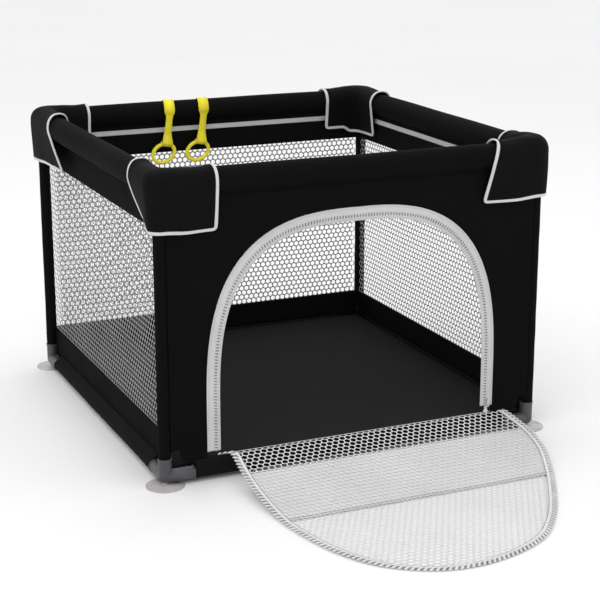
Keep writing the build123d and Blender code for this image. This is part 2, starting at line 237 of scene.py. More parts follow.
# cloth: colours, thread pitch, roughness, sheen, crease depth; moulded: colours, roughness
finishes = {
    "panel": clothMaterial("blackOxford", grey(0.0030), grey(0.0054), 0.0011, 0.84, 0.0),
    "roll": clothMaterial("railOxford", grey(0.0026), grey(0.0050), 0.0011, 0.78, 0.0, patches=4.0),
    "sleeve": clothMaterial("sleeveOxford", grey(0.0062), grey(0.0092), 0.0011, 0.78, 0.0),
    "cap": clothMaterial("capOxford", grey(0.0034), (0.0062, 0.0062, 0.0074), 0.0011, 0.74, 0.01, 0.0016),
    "mat": clothMaterial("matOxford", grey(0.0120), (0.0170, 0.0170, 0.0195), 0.0013, 0.80, 0.0, 0.0010),
    "net": clothMaterial("wallThread", grey(0.26), grey(0.38), 0.0006, 0.75, 0.1, 0.0002),
    "piping": clothMaterial("paleBinding", grey(0.56), grey(0.70), 0.0008, 0.7, 0.1, 0.0004),
    "ribbon": clothMaterial("greyRibbon", grey(0.46), grey(0.60), 0.0010, 0.7, 0.1, 0.0003),
    "tape": clothMaterial("zipTape", (0.52, 0.505, 0.51), (0.64, 0.625, 0.63), 0.0012, 0.7, 0.1, 0.0004),
    # dark grey of the door's zip coil; the same finish is also laid as painted shade in the gaps between the
    # gate's white teeth
    "teeth": mouldedMaterial("coilTeeth", grey(0.16), grey(0.26), 0.45),
    "whiteTeeth": mouldedMaterial("gateTeeth", grey(0.66), grey(0.76), 0.45),
    "gateNet": clothMaterial("whiteThread", grey(0.74), grey(0.84), 0.0006, 0.7, 0.1, 0.0002),
    "lining": clothMaterial("sheerLining", grey(0.64), grey(0.72), 0.0009, 0.75, 0.1, 0.0006),
    "binding": clothMaterial("whiteBinding", grey(0.76), grey(0.86), 0.0008, 0.7, 0.1, 0.0004),
    "seam": clothMaterial("greyThread", grey(0.22), grey(0.32), 0.0005, 0.7, 0.1, 0.0001),
    "blackSeam": clothMaterial("blackThread", grey(0.006), grey(0.012), 0.0005, 0.6, 0.05, 0.0001),
    "webbing": clothMaterial("yellowWebbing", (0.56, 0.46, 0.006), (0.96, 0.86, 0.026), 0.0016, 0.6, 0.1,
                             0.0004),
    "ring": mouldedMaterial("yellowPlastic", (0.80, 0.71, 0.012), (0.90, 0.81, 0.020), 0.32),
    "elbow": mouldedMaterial("greyPlastic", (0.052, 0.052, 0.058), (0.074, 0.074, 0.082), 0.36),
    "steel": mouldedMaterial("paintedSteel", grey(0.42), grey(0.52), 0.30, metal=1.0),
    "foam": mouldedMaterial("railFoam", grey(0.30), grey(0.36), 0.85, 1400.0, 0.0004),
    "slider": mouldedMaterial("paleZinc", grey(0.62), grey(0.72), 0.34, metal=0.6),
    "cup": makeCupMaterial(),
}
print("materials:", len(finishes))


def turned(points, degrees):
    a = math.radians(degrees)
    c, s = round(math.cos(a)), round(math.sin(a))
    x, y, z = np.moveaxis(np.asarray(points, float), -1, 0)
    return np.stack([c * x - s * y, s * x + c * y, z], axis=-1)


def addObject(name, data, at=(0, 0, 0), facing=None):
    made = bpy.data.objects.new(name, data)
    made.location = at
    if facing is not None:
        made.rotation_euler = Vector(facing).to_track_quat("-Z", "Y").to_euler()
    bpy.context.scene.collection.objects.link(made)
    return made


def newPiece(name, points, faces, finish, body="pen", ride=True):
    points = np.asarray(points, float).reshape(-1, 3) + (0, penY, 0)
    mesh = bpy.data.meshes.new(name)
    mesh.from_pydata(points.tolist(), [], faces)
    mesh.validate()
    mesh.update()
    mesh.polygons.foreach_set("use_smooth", [True] * len(mesh.polygons))
    mesh.materials.append(finishes[finish])
    piece = addObject(name, mesh)
    if ride:
        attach(piece, body)
    return piece


def gridFaces(rows, columns, closedRows=False, closedColumns=False, capped=False):
    faces = []
    for r in range(rows if closedRows else rows - 1):
        for c in range(columns if closedColumns else columns - 1):
            r2, c2 = (r + 1) % rows, (c + 1) % columns
            faces.append((r * columns + c, r2 * columns + c, r2 * columns + c2, r * columns + c2))
    if capped:
        faces.append(tuple(range(columns)))
        faces.append(tuple((rows - 1) * columns + c for c in reversed(range(columns))))
    return faces


def thicken(piece, thickness, offset=-1.0):
    solid = piece.modifiers.new("thickness", "SOLIDIFY")
    solid.thickness, solid.offset = thickness, offset


def roundTurn(count):
    return np.arange(count) * 2 * math.pi / count


def spots(x, y, z):
    # points from three arrays or numbers, side by side
    return np.stack(np.broadcast_arrays(x, y, z), axis=-1).astype(float)


def unit(vectors):
    return vectors / np.maximum(np.linalg.norm(vectors, axis=-1, keepdims=True), 1e-12)


def alongLine(points):
    # distance of each point along its line
    steps = np.linalg.norm(np.diff(points, axis=0), axis=1)
    return np.concatenate([[0], np.cumsum(steps)])


def resample(points, step, *others):
    # the line again with even steps, and anything that goes with its points
    along = alongLine(points)
    at = np.linspace(0, along[-1], max(2, round(along[-1] / step) + 1))
    columns = [np.asarray(values, float).T for values in (points, *others)]
    return [np.stack([np.interp(at, along, column) for column in group], axis=1) for group in columns]


def smoothLine(controls, step=0.003):
    # Catmull-Rom curve through given points
    p = np.asarray(controls, float)
    p = np.vstack([2 * p[0] - p[1], p, 2 * p[-1] - p[-2]])
    curve = []
    for a, b, c, d in zip(p, p[1:], p[2:], p[3:]):
        for t in np.linspace(0, 1, 12, endpoint=False):
            curve.append(0.5 * (2 * b + (c - a) * t + (2 * a - 5 * b + 4 * c - d) * t ** 2
                                + (3 * b - a - 3 * c + d) * t ** 3))
    curve.append(p[-2])
    return resample(np.array(curve), step)[0]


def roundedSlab(wide, thick, start):
    # section of a flat tape with round edges, from start to start + wide
    r = thick / 2
    ends = ((start + wide - r, -1.57, 1.57), (start + r, 1.57, 4.71))
    return [(x + r * math.cos(a), r * math.sin(a)) for x, a0, a1 in ends for a in np.linspace(a0, a1, 7)]


def strip(path, across, normal, section, closed=False, wide=None):
    # a section of (across, height) points carried along a path
    section = np.asarray(section, float)
    a = section[None, :, 0, None] * (1.0 if wide is None else np.asarray(wide)[:, None, None])
    points = path[:, None] + across[:, None] * a + normal[:, None] * section[None, :, 1, None]
    rows, columns = len(path), len(section)
    faces = gridFaces(rows, columns, closedRows=closed, closedColumns=True, capped=not closed)
    return points.reshape(-1, 3), faces


def tangents(path, closed=False):
    if closed:
        return unit(np.roll(path, -1, 0) - np.roll(path, 1, 0))
    return unit(np.gradient(path, axis=0))


class Bundle:
    # collects many small solids into one mesh
    def __init__(self):
        self.points, self.faces, self.count = [], [], 0

    def add(self, points, faces):
        points = np.asarray(points, float).reshape(-1, 3)
        self.points.append(points)
        self.faces += [tuple(v + self.count for v in face) for face in faces]
        self.count += len(points)

    def piece(self, name, finish, body="pen", slot=None, ride=True):
        return newPiece(name, np.concatenate(self.points), self.faces, finish, body, ride)


def bead(centre, along, across, normal, size, lift=0.0):
    # a small stitch or tooth: a lozenge with round ends
    long, wide, tall = (s / 2 for s in size)
    rings = []
    for place, grow in ((-1.0, 0.45), (-0.6, 1.0), (0.6, 1.0), (1.0, 0.45)):
        for a in np.arange(6) * math.pi / 3 + math.pi / 6:
            rings.append(centre + along * long * place + across * wide * grow * math.cos(a)
                         + normal * (lift + tall * grow * math.sin(a)))
    return rings, gridFaces(4, 6, closedColumns=True, capped=True)


def stitchRow(bundle, path, across, normal, offset, size, pitch, lift):
    # stitches at an even pitch beside a path
    line, normal = resample(path + across * offset, pitch, normal)
    for p, t, n in zip(line, tangents(line), normal):
        bundle.add(*bead(p, t, unit(np.cross(n, t)), n, size, lift))


def smoothAlong(values, passes=2, closed=True):
    # each row is blended with its neighbours; an open line keeps its ends
    for _ in range(passes):
        blended = (np.roll(values, 1, 0) + 2 * values + np.roll(values, -1, 0)) / 4
        values = blended if closed else np.vstack([values[:1], blended[1:-1], values[-1:]])
    return values


def ease(t):
    t = np.clip(t, 0, 1)
    return t * t * (3 - 2 * t)


def wobble(points, scale, seed=0.0):
    # slow random sway, one number for each point
    return np.array([noise.noise(Vector((x * scale + seed, y * scale, z * scale))) for x, y, z in points])


netSizes = {"pitch": 0.0143, "hole": 0.0057, "thick": 0.0012, "reach": 0.436, "sway": 0.0022}
gateNetSizes = {"pitch": 0.0145, "hole": 0.0061, "thick": 0.0013}


def hexNet(inside, span, sizes):
    # flat hexagon netting: cells whose centre is inside, as (across, along, height) points
    pitch, hole, thick = sizes["pitch"], sizes["hole"], sizes["thick"]
    radius = pitch / math.sqrt(3)
    lowX, highX, lowS, highS = span
    rim, ring = [], []
    for k in range(12):
        # even steps are the hexagon's corners, odd ones the middles of its sides
        a = math.pi / 6 * k + math.pi / 2
        reach, bore = (radius, hole * 1.06) if k % 2 == 0 else (radius * math.cos(math.pi / 6), hole * 0.98)
        rim.append((reach * math.cos(a), reach * math.sin(a)))
        ring.append((bore * math.cos(a), bore * math.sin(a)))
    points, faces, shared = [], [], {}

    def rimPoint(x, s, side):
        key = (round(x * 20000), round(s * 20000), side)
        if key not in shared:
            shared[key] = len(points)
            points.append((x, s, side * thick / 2))
        return shared[key]

    rows, columns = round((highS - lowS) / (radius * 1.5)), round((highX - lowX) / pitch)
    for j in range(rows + 1):
        for i in range(columns + 1):
            x = lowX + (i + 0.5 * (j % 2)) * pitch
            s = lowS + j * radius * 1.5
            if not inside(x, s):
                continue
            first = len(points)
            points += [(x + a, s + b, 0.0) for a, b in ring]
            front = [rimPoint(x + a, s + b, 1) for a, b in rim]
            back = [rimPoint(x + a, s + b, -1) for a, b in rim]
            for k in range(12):
                m = (k + 1) % 12
                faces.append((front[k], front[m], first + m, first + k))
                faces.append((back[m], back[k], first + k, first + m))
    return np.array(points), faces


def closeNetEdge(points, faces):
    # joins front and back along the net's outer edge, where a cell has no neighbour
    edges = {pair: None for face in faces for pair in zip(face, face[1:] + face[:1])}
    bare = [(a, b) for a, b in edges if (b, a) not in edges]
    twin = {}
    for index, (x, s, h) in enumerate(points):
        twin.setdefault((round(x * 20000), round(s * 20000)), []).append(index)
    other = {}
    for pair in twin.values():
        if len(pair) == 2:
            other[pair[0]], other[pair[1]] = pair[1], pair[0]
    for a, b in bare:
        if points[a][2] > 0 and a in other and b in other:
            faces.append((b, a, other[a], other[b]))
    return faces


view = {"place": (-1.4524, -3.13735, 1.2980), "look": (0.3903, 0.8795, -0.2723), "lens": 93.87}


def makeCamera():
    data = bpy.data.cameras.new("camera")
    data.lens, data.sensor_width, data.clip_end = view["lens"], 36.0, 50.0
    bpy.context.scene.camera = addObject("camera", data, view["place"], view["look"])


lampSizes = {
    "key": {"at": (-1.8, -1.2, 3.2), "size": 2.2, "power": 20},
    "fill": {"at": (2.8, -2.2, 2.2), "size": 2.4, "power": 5},
    "top": {"at": (0.4, 1.2, 3.4), "size": 2.4, "power": 16},
}


def makeStage():
    look = {"Roughness": 0.9, "Specular IOR Level": 0.1}
    floorMaterial, tree, shader, place = startMaterial("studioFloor", look)
    cloud = useGroup(tree, cloudGroup, place, Patches=0.7, Creases=2.0)
    feed(tree, shader, {"Base Color": mixColours(tree, cloud["Tone"], grey(0.905), grey(0.925))})
    mesh = bpy.data.meshes.new("studio_floor")
    reach = 30.0
    mesh.from_pydata([(-reach, -reach, 0), (reach, -reach, 0), (reach, reach, 0), (-reach, reach, 0)],
                     [], [(0, 1, 2, 3)])
    mesh.materials.append(floorMaterial)
    addObject("studio_floor", mesh)

    world = bpy.data.worlds.new("studio")
    bpy.context.scene.world = world
    world.use_nodes = True
    feed(world.node_tree, world.node_tree.nodes["Background"], {"Color": (1, 1, 1, 1), "Strength": 0.98})
    for name, lamp in lampSizes.items():
        data = bpy.data.lights.new(name, "AREA")
        data.size, data.energy = lamp["size"], lamp["power"]
        addObject(name, data, lamp["at"], Vector((0, penY, 0.2)) - Vector(lamp["at"]))
    bpy.context.scene.view_settings.view_transform = "Standard"


makeCamera()
makeStage()
print("stage is set")


nodeFinishes = {
    "post_f": "steel", "post_b": "steel", "bottom_tube": "steel", "top_tube": "steel",
    "base_elbow": "elbow", "top_elbows": "elbow", "rail_pads": "foam",
    "zip_slider": "slider", "zip_pull": "slider",
}


def finishFrame():
    # the CAD's own tubes and fittings stay, with a better finish
    for name, piece in frame["nodes"].items():
        for start, finish in nodeFinishes.items():
            if name.startswith(start):
                for slot in piece.material_slots:
                    slot.material = finishes[finish]


cupSizes = {"radius": 0.0425, "rim": 0.0016, "stud": 0.0048, "rings": 5, "around": 72}


def makeCups():
    # soft suction cups with fine moulded rings and a thin raised rim
    radius, rim = cupSizes["radius"], cupSizes["rim"]
    top = []
    for i in range(61):
        r = radius * i / 60
        rise = 0.0052 * max(0, 1 - r / radius) ** 1.3 + 0.0012
        ripple = 0.00022 * math.cos(math.pi * cupSizes["rings"] * 2 * r / radius) if r > 0.012 else 0
        edge = rim * 0.5 * math.exp(-((r - radius + 0.0012) / 0.0010) ** 2)
        top.append((r, rise + ripple + edge))
    under = [(radius, 0.0004), (radius * 0.9, 0.0), (radius * 0.7, 0.0008), (0.0, 0.0020)]
    outline = [(0.0, 0.0185), (0.0046, 0.0185), (cupSizes["stud"], 0.0178), (cupSizes["stud"], 0.0085)]
    outline += [(r, z) for r, z in top if r > 0.0052] + under
    angles = roundTurn(cupSizes["around"])
    rows = [[(r * math.cos(a) - half, r * math.sin(a) - half, z) for a in angles] for r, z in outline]
    faces = gridFaces(len(outline), len(angles), closedColumns=True)
    for name, turn in corners.items():
        cup = newPiece("cup_" + name, turned(rows, turn), faces, "cup")
        if name == "front_left":
            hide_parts("suction_cups")


finishFrame()
makeCups()
print("frame and feet")


clothSizes = {"thick": 0.0022, "hem": 0.0016, "hemTall": 0.011, "ripple": 0.0007, "step": 0.009,
              "overFoot": 0.0375, "underRail": 0.0225}


def clothBand(name, turn, low, high, hemAt):
    # flat sewn band between two heights, with a folded hem where it meets the net
    rows = max(6, round((high - low) / 0.006))
    heights = np.linspace(low, high, rows)
    hemmed = abs(heights - hemAt) < clothSizes["hemTall"]
    thick = clothSizes["thick"] / 2 + hemmed * clothSizes["hem"] / 2
    loop = [(-t, z) for t, z in zip(thick, heights)] + [(t, z) for t, z in zip(thick, heights)][::-1]
    middleStations = np.linspace(-0.396, 0.396, round(0.792 / clothSizes["step"]) + 1)
    ends = np.linspace(0.400, wallY, 14)
    stations = np.concatenate([-ends[::-1], middleStations, ends])
    points = []
    for x in stations:
        # past the ends of the bottom sleeve the low band hangs down to the elbow
        foot = np.interp(abs(x), (0.380, 0.388), (low, clothSizes["overFoot"])) if hemAt == high else low
        points.append([(x, t - wallY, high - (high - z) * (high - foot) / (high - low)) for t, z in loop])
    points = np.array(points).reshape(-1, 3)
    sway = wobble(spots(points[:, 0], points[:, 2] * 2, 0), 9.0, turn)
    fade = np.clip((wallY - abs(points[:, 0])) / 0.03, 0, 1)
    points[:, 1] += sway * clothSizes["ripple"] * fade
    faces = gridFaces(len(stations), len(loop), closedColumns=True, capped=True)
    band = newPiece(name, turned(points, turn), faces, "panel")
    return band


sleeveSizes = {"radius": 0.0135, "span": 0.3846, "around": 26, "fold": 0.0009, "thick": 0.0013,
               "seam": 0.0013}


def tubeSleeve(side, turn, y, top):
    # cloth round a bottom tube, drawn up on both sides to its seam at y
    cy, cz, r = -half, baseZ, sleeveSizes["radius"]
    outer, inner = y - sleeveSizes["seam"], y + sleeveSizes["seam"]

    def touch(y, side):
        # where the cloth leaves the tube on its way to the seam
        return math.atan2(top - cz, y - cy) + side * math.acos(r / math.hypot(y - cy, top - cz))

    angles = np.linspace(touch(outer, 1), touch(inner, -1) + 2 * math.pi, sleeveSizes["around"])
    arc = [(cy + r * math.cos(a), cz + r * math.sin(a)) for a in angles]
    rise = np.linspace(0, 1, 7)[:-1, None]
    left = np.array([(outer, top)]) * (1 - rise) + np.array([arc[0]]) * rise
    right = np.array([arc[-1]]) * (1 - rise) + np.array([(inner, top)]) * rise
    loop = np.vstack([left, arc, right[1:], [(inner, top)]])
    span = sleeveSizes["span"]
    stations = np.linspace(-span, span, round(2 * span / 0.007) + 1)
    points = np.array([[(x, y, z) for y, z in loop] for x in stations]).reshape(-1, 3)
    folds = wobble(points * (1, 3, 3), 16.0, turn + 3)
    away = unit(spots(0, points[:, 1] - cy, points[:, 2] - cz))
    points += away * (folds * sleeveSizes["fold"])[:, None]
    faces = gridFaces(len(stations), len(loop))
    sleeve = newPiece("sleeve_" + side, turned(points, turn), faces, "sleeve")
    thicken(sleeve, sleeveSizes["thick"], 1.0)
    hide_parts("bottom_sleeve_" + side)


def makeWalls():
    pitch, reach = netSizes["pitch"], netSizes["reach"]
    for name, turn in walls.items():
        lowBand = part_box("lower_band_" + name)[0].z
        tubeSleeve(name, turn, -wallY, lowBand)
        band = clothBand("low_band_" + name, turn, lowBand, windowLow, windowLow)
        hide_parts("lower_band_" + name)
        clothBand("top_band_" + name, turn, windowHigh, railZ - clothSizes["underRail"], windowHigh)

        span = (pitch / 2 - reach, reach - pitch / 2, windowLow - 0.006, windowHigh + 0.006)
        flat, faces = hexNet(lambda x, s: abs(x) < reach - pitch / 2, span, netSizes)
        faces = closeNetEdge(flat, faces)
        x, z = flat[:, 0], flat[:, 1]
        # the net sways a little, but not where it is sewn in
        fromHem = np.minimum(z - windowLow, windowHigh - z)
        free = np.minimum(np.minimum(1, (0.43 - abs(x)) / 0.1), np.clip((fromHem - 0.004) / 0.03, 0, 1))
        sway = wobble(spots(x, z, 0), 4.0, turn) * netSizes["sway"] * free
        net = newPiece("net_" + name, turned(spots(x, flat[:, 2] + sway - wallY, z), turn), faces, "net")
        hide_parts("mesh_" + name)


postSizes = {"radius": 0.0138, "low": 0.0640, "high": 0.6140, "around": 30, "thick": 0.0014,
             "seam": 0.0008, "fold": 0.0006}


def makePostSleeves():
    radius, low, high = postSizes["radius"], postSizes["low"], postSizes["high"]
    around, levels = postSizes["around"], np.linspace(low, high, 80)
    tube = np.array([(math.cos(a), math.sin(a), z) for z in levels for a in roundTurn(around)])
    seam = postSizes["seam"] * np.exp(-((np.arctan2(tube[:, 1], tube[:, 0]) + 2.356) / 0.12) ** 2)
    faces = gridFaces(len(levels), around, closedColumns=True)
    for name, turn in corners.items():
        size = radius + wobble(tube * (1, 1, 18), 1.3, turn + 11) * postSizes["fold"] + seam
        points = spots(tube[:, 0] * size - half, tube[:, 1] * size - half, tube[:, 2])
        sleeve = newPiece("post_cover_" + name, turned(points, turn), faces, "panel")
        thicken(sleeve, postSizes["thick"], 1.0)
        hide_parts("post_sleeve_" + name)


makeWalls()
tubeSleeve("front", 0, panelY + sleeveSizes["seam"], sill)
makePostSleeves()
print("walls, nets and sleeves")


rollSizes = {"radius": 0.0294, "span": 0.4150, "raise": {"front": 0.0024}, "voxel": 0.0055,
             "cap": 0.0016, "pressure": 4.0, "frames": 20}


def puffUp(piece, pinned):
    # the pad fills out under a little pressure, held along its seams
    def freeze():
        result = bpy.data.meshes.new_from_object(piece.evaluated_get(bpy.context.evaluated_depsgraph_get()))
        piece.modifiers.clear()
        piece.data = result
        return result

    remesh = piece.modifiers.new("remesh", "REMESH")
    remesh.mode, remesh.voxel_size = "VOXEL", rollSizes["voxel"]
    before = np.array([v.co for v in freeze().vertices])
    group = piece.vertex_groups.new(name="seam")
    group.add([k for k, point in enumerate(before) if pinned(point - (0, penY, 0))], 1.0, "REPLACE")
    cloth = piece.modifiers.new("cloth", "CLOTH")
    cloth.settings.use_pressure = True
    cloth.settings.uniform_pressure_force = rollSizes["pressure"]
    cloth.settings.effector_weights.gravity = 0.0
    cloth.settings.vertex_group_mass = "seam"
    cloth.settings.quality = 5
    cloth.point_cache.frame_start, cloth.point_cache.frame_end = 1, rollSizes["frames"]
    for step in range(1, rollSizes["frames"] + 1):
        bpy.context.scene.frame_set(step)
    result = freeze()
    moved = np.array([v.co for v in result.vertices]) - before
    far = np.linalg.norm(moved, axis=1, keepdims=True)
    after = before + moved * np.minimum(1, rollSizes["cap"] / np.maximum(far, 1e-9))
    result.vertices.foreach_set("co", after.astype(np.float32).ravel())
    result.update()
    bpy.context.scene.frame_set(1)


def rollSeam(point, turn):
    # is this point on the roll's sewn seam, or at its ends?
    x, y, z = turned(point, -turn)
    angle = math.atan2(z - railZ, y + half)
    return abs(abs(angle) - 1.57 - 0.41) < 0.11 and angle < 0 or abs(x) > rollSizes["span"] - 0.008


def makeRolls():
    around = 40
    span, r = rollSizes["span"], rollSizes["radius"]
    for name, turn in sides.items():
        points = []
        for x in np.linspace(-span, span, 120):
            for a in roundTurn(around):
                size = r * (1 + 0.012 * math.cos(2 * a)) - 0.0006 * math.cos(x * 9) ** 2
                lift = rollSizes["raise"].get(name, 0.0) * max(0.0, math.sin(a))
                points.append((x, -half + size * math.cos(a), railZ + size * math.sin(a) + lift))
        faces = gridFaces(120, around, closedColumns=True, capped=True)
        roll = newPiece("roll_" + name, turned(points, turn), faces, "roll")
        puffUp(roll, lambda point: rollSeam(point, turn))
        roll.data.polygons.foreach_set("use_smooth", [True] * len(roll.data.polygons))
        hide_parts("rail_cover_" + name)


def makeSeams():
    # stitched seam line under each roll, on the outside
    bundle = Bundle()
    up, out = np.tile((0, 0, 1.0), (60, 1)), np.tile((0, -1.0, 0), (60, 1))
    for name, turn in sides.items():
        y, drop = (panelY - 0.0012, 0.0335) if name == "front" else (-wallY - 0.0022, 0.0345)
        path = spots(np.linspace(-0.325, 0.325, 60), y, railZ - drop)
        stitches = Bundle()
        stitchRow(stitches, path, up, out, 0.0, (0.0030, 0.0009, 0.0008), 0.0045, 0.0)
        bundle.add(turned(np.concatenate(stitches.points), turn), stitches.faces)
    bundle.piece("rail_stitches", "blackSeam", slot="black_oxford")


def makeRibbons():
    # light grey ribbon round the inside, with two woven ribs
    low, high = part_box("rail_ribbons")[0].z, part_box("rail_ribbons")[1].z
    ends, tall = 0.3450, high - low
    section = [(0, 0), (tall, 0), (tall, 0.0010), (tall * 0.80, 0.0015), (tall * 0.62, 0.0010),
               (tall * 0.38, 0.0010), (tall * 0.20, 0.0015), (0, 0.0010)]
    ribbons = Bundle()
    for name, turn in walls.items():
        x = np.linspace(-ends, ends, 90)
        sway = wobble(spots(x, 0, turn), 7.0)
        path = spots(x, 0.0012 - wallY, low + sway * 0.0006)
        up, inward = np.tile((0, 0, 1.0), (90, 1)), np.tile((0, 1.0, 0), (90, 1))
        points, faces = strip(path, up, inward, section)
        ribbons.add(turned(points, turn), faces)
    ribbon = ribbons.piece("ribbons", "ribbon", slot="grey_ribbon")
    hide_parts("rail_ribbons")


makeRolls()
makeSeams()
makeRibbons()
print("padded rail")


# Leg a runs along the rail in front of the corner as drawn, leg b along the one at its left.
# For each leg: its free edge over the rail, beside it and at its foot, its hem's height,
# how far the edge stands up, then the edge and hem on the inside.
capSizes = {"reach": 0.0318, "rise": 0.0328, "thick": 0.0026, "foot": 0.0165, "footCorner": 0.0252,
            "hemIn": 0.0085, "round": 0.006, "bend": 0.045, "pipe": 0.0080, "pipeThick": 0.0042,
            "fold": 0.0016, "crease": 0.0006}
capLegs = {
    "front_left": {"turn": 0, "lift": 0.000, "corner": 0.5580, "inCorner": 0.572,
                   "a": (0.330, 0.330, 0.329, 0.5545, 0.004, 0.330, 0.584),
                   "b": (0.334, 0.348, 0.395, 0.5770, 0.005, 0.330, 0.580)},
    "front_right": {"turn": 90, "lift": 0.008, "corner": 0.5600, "inCorner": 0.572,
                    "a": (0.337, 0.345, 0.380, 0.5760, 0.003, 0.330, 0.580),
                    "b": (0.339, 0.323, 0.306, 0.5550, 0.007, 0.334, 0.584)},
    "back_right": {"turn": 180, "lift": 0.005, "corner": 0.5640, "inCorner": 0.571,
                   "a": (0.331, 0.330, 0.330, 0.5560, 0.002, 0.331, 0.5830),
                   "b": (0.324, 0.335, 0.370, 0.5700, 0.005, 0.325, 0.5715)},
    "back_left": {"turn": 270, "lift": 0.003, "corner": 0.5590, "inCorner": 0.572,
                  "a": (0.296, 0.276, 0.213, 0.5640, 0.006, 0.326, 0.580),
                  "b": (0.333, 0.332, 0.330, 0.5600, 0.002, 0.333, 0.586)},
}


def capRows(legs):
    # the cover's surface as rows from the outer hem over the rail to the inner hem
    down, over, inner = 22, 26, 16
    legCount, bendCount = 20, 15
    along = np.concatenate([np.linspace(0, 1, legCount, endpoint=False), np.ones(bendCount),
                            np.linspace(1, 0, legCount + 1)[1:]])
    bend = np.concatenate([np.zeros(legCount), np.linspace(0, 1, bendCount), np.ones(legCount)])
    onA = np.arange(len(along)) < legCount + bendCount // 2
    topEnd, sideEnd, footEnd, hemEnd, peak, innerEnd, innerHem = (
        np.where(onA, a, b) for a, b in zip(legs["a"], legs["b"]))
    reach = capSizes["reach"]
    stands = peak * np.exp(-(along / 0.20) ** 2)
    rows = []
    for r in range(down + over + inner):
        if r < down:
            f = 1 - r / down          # 1 at the hem, 0 at the rail's axis
            hem = hemEnd + (legs["corner"] - hemEnd) * ease((along - 0.5) / 0.5)
            z = railZ - (railZ - hem) * f
            foot = capSizes["foot"] + (capSizes["footCorner"] - capSizes["foot"]) * ease(along * 1.2)
            d = reach + stands * 0.3 * (1 - f) - (reach - foot) * f ** 1.3
            end = sideEnd + (footEnd - sideEnd) * f ** 0.85
            low = z - hem
            radius = capSizes["bend"] - 0.019 * f
        elif r < down + over:
            g = (r - down) / (over - 1)
            c, s = math.cos(math.pi * g), math.sin(math.pi * g)
            d = (reach + stands * 0.3) * math.copysign(abs(c) ** 0.88, c)
            z = railZ + (capSizes["rise"] + legs["lift"] * ease(along) + stands) * abs(s) ** 0.88
            end = np.where(g < 0.4, sideEnd + (topEnd - sideEnd) * g / 0.4,
                           topEnd + (innerEnd - topEnd) * (g - 0.4) / 0.6)
            low = 1.0
            radius = capSizes["bend"] * (1 - g) + 0.016 * g
        else:
            f = (r - down - over + 1) / inner
            hem = innerHem + (legs["inCorner"] - innerHem) * ease((along - 0.68) / 0.32)
            z = railZ - (railZ - hem) * f
            d = -reach + capSizes["hemIn"] * f ** 1.3 + 0 * along
            end, low, radius = innerEnd, z - hem, 0.016 + 0.004 * f
        # the free edge draws back round the skirt's lower corner
        short = capSizes["round"]
        drawn = short - np.sqrt(np.maximum(short ** 2 - np.maximum(short - low, 0) ** 2, 0))
        corner = -half - d
        start, turnAt = -end - drawn, corner + radius
        onLeg = start + (turnAt - start) * along
        angle = -math.pi / 2 - bend * math.pi / 2
        x = np.where(bend == 0, onLeg, np.where(bend < 1, turnAt + radius * np.cos(angle), corner))
        y = np.where(bend == 1, onLeg, np.where(bend > 0, turnAt + radius * np.sin(angle), corner))
        rows.append(np.stack([x, y, z + 0 * x], 1))
    return np.array(rows)


def capEdge(rows, normals):
    # the cover's free edge all round, with directions inwards and out of the cloth
    tall, wide = rows.shape[:2]
    edge = [(0, c) for c in range(wide)] + [(r, wide - 1) for r in range(1, tall)]
    edge += [(tall - 1, c) for c in reversed(range(wide - 1))] + [(r, 0) for r in reversed(range(tall - 1))]
    inner = [(min(max(r, 2), tall - 3), min(max(c, 2), wide - 3)) for r, c in edge]
    path = np.array([rows[r, c] for r, c in edge])
    inward = np.array([rows[r, c] for r, c in inner]) - path
    normal = np.array([normals[r, c] for r, c in inner])
    path, inward, normal = (values[:-1] for values in resample(path, 0.0035, inward, normal))
    path, inward, normal = smoothAlong(path), smoothAlong(inward), unit(smoothAlong(normal))
    across = np.cross(normal, tangents(path, closed=True))
    across = unit(across * np.sign((across * inward).sum(1, keepdims=True)))
    return path, unit(smoothAlong(across)), normal


def makeCaps():
    stitches = Bundle()
    for name, legs in capLegs.items():
        turn = legs["turn"]
        rows = capRows(legs)
        normals = unit(np.cross(np.gradient(rows, axis=1), np.gradient(rows, axis=0)))
        normals = normals * np.sign(normals[rows.shape[0] // 2 - 4, 5, 2])
        flat = rows.reshape(-1, 3)
        folds = wobble(flat, 14.0, turn * 0.1 + 5) * capSizes["fold"]
        fine = wobble(flat * (1, 1, 0.35), 42.0, turn * 0.1) * capSizes["crease"]
        rows = rows + normals * (folds + fine).reshape(rows.shape[:2])[..., None]
        cover = newPiece("cover_" + name, turned(rows, turn), gridFaces(*rows.shape[:2]), "cap")
        highest = max(cover.data.polygons, key=lambda face: face.center.z)
        thicken(cover, capSizes["thick"], -1.0 if highest.normal.z > 0 else 1.0)
        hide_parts("corner_cover_" + name)

        path, across, normal = capEdge(rows, normals)
        path = path - normal * capSizes["thick"] / 2
        section = roundedSlab(capSizes["pipe"], capSizes["pipeThick"], -0.0012)
        points, faces = strip(path, across, normal, section, closed=True)
        piping = newPiece("piping_" + name, turned(points, turn), faces, "piping")
        if name == "front_left":
            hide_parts("corner_piping")
        row = Bundle()
        stitchRow(row, path, across, normal, 0.0056, (0.0026, 0.0007, 0.0006), 0.0042,
                  capSizes["pipeThick"] / 2)
        stitches.add(turned(np.concatenate(row.points), turn), row.faces)
    stitches.piece("piping_stitches", "ribbon", slot="white_piping")


makeCaps()
print("corner covers and piping")


# the doorway's half width, the height of its crown over its straight legs and where the tape's feet are
doorSizes = {"wide": 0.352, "tall": 0.415, "power": 2.8, "legs": 0.160, "footLeft": 0.068,
             "footRight": 0.0745, "aside": -0.005, "panelTop": 0.6345, "panelHalf": 0.4400}
# the panel's lower edge is cut up round the elbows: distance from the middle, and height
footCut = [(0.380, sill), (0.388, 0.0455), (0.400, 0.0520), (0.416, 0.0600), (0.4205, 0.0830),
           (0.4400, 0.0790)]


